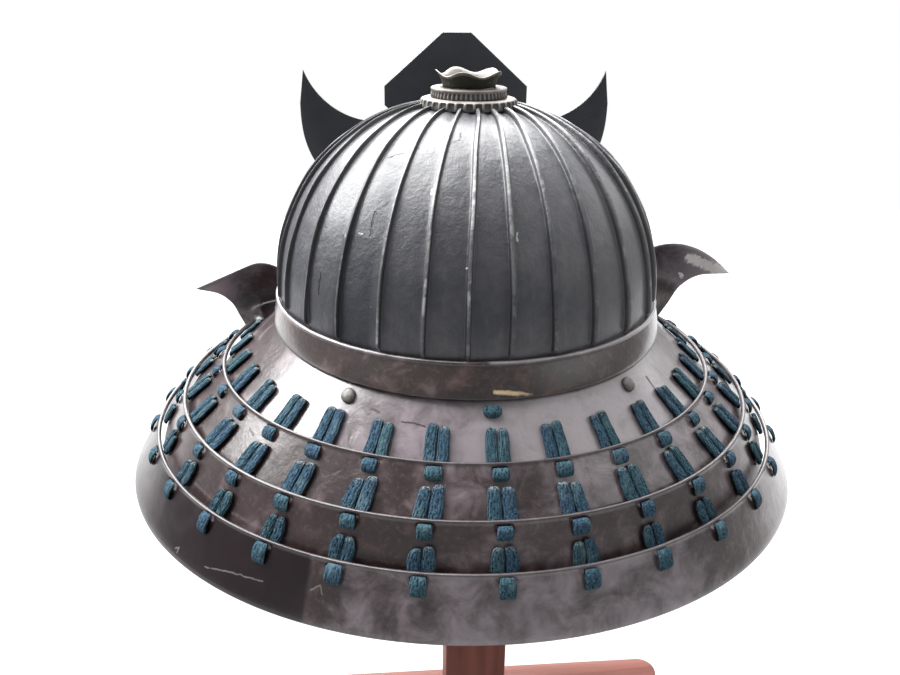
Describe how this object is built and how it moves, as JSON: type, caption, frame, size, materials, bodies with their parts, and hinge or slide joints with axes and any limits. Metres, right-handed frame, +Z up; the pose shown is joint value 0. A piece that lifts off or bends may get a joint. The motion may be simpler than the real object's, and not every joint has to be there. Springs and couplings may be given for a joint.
{
  "type": "samurai helmet on a wooden stand",
  "caption": "Kabuto with a ribbed iron bowl, laced flaring neck guard, crown ornament and crescent crest, resting on a plain wooden display stand.",
  "frame": {"origin": "on the underside of the stand's base board, straight below the helmet bowl's vertical axis", "axes": "+Z up along the bowl's axis; the helmet faces -Y, so its laced back faces +Y; +X is on the wearer's left"},
  "size_m": [0.363, 0.3124, 0.483],
  "materials": {
    "bowl_iron": "blackened russet iron with a worn lacquer film, dark slate grey",
    "brown_lacquer": "glossy dark russet-brown urushi lacquer over iron, worn and mottled",
    "crown_metal": "old gilt copper alloy, tarnished olive and grey",
    "crest_black": "black lacquered metal sheet, satin",
    "rivet_iron": "worn lacquered iron",
    "indigo_silk": "braided silk cord dyed indigo, faded towards teal",
    "stand_wood": "red-brown lacquered wood, glossy"
  },
  "bodies": {
    "root": {"bowl": "bowl_iron", "waist_band": "brown_lacquer", "crown_collar": "crown_metal", "crown_ring": "crown_metal", "crown_cup": "crown_metal", "visor": "crest_black", "crest_socket": "crest_black", "crest_crescent": "crest_black", "crest_plate": "crest_black", "neck_lame_1": "brown_lacquer", "neck_lame_2": "brown_lacquer", "neck_lame_3": "brown_lacquer", "neck_lame_4": "brown_lacquer", "lame_rivet_left": "rivet_iron", "lame_rivet_right": "rivet_iron", "back_knot": "indigo_silk", "lace_01": "indigo_silk", "lace_02": "indigo_silk", "lace_03": "indigo_silk", "lace_04": "indigo_silk", "lace_05": "indigo_silk", "lace_06": "indigo_silk", "lace_07": "indigo_silk", "lace_08": "indigo_silk", "lace_09": "indigo_silk", "lace_10": "indigo_silk", "lace_11": "indigo_silk", "lace_12": "indigo_silk", "lace_13": "indigo_silk", "lace_14": "indigo_silk", "lace_15": "indigo_silk", "lace_16": "indigo_silk", "lace_17": "indigo_silk", "lace_18": "indigo_silk", "lace_19": "indigo_silk", "stand_base": "stand_wood", "stand_post": "stand_wood", "stand_crossbar": "stand_wood", "stand_head": "stand_wood"}
  },
  "joints": []
}
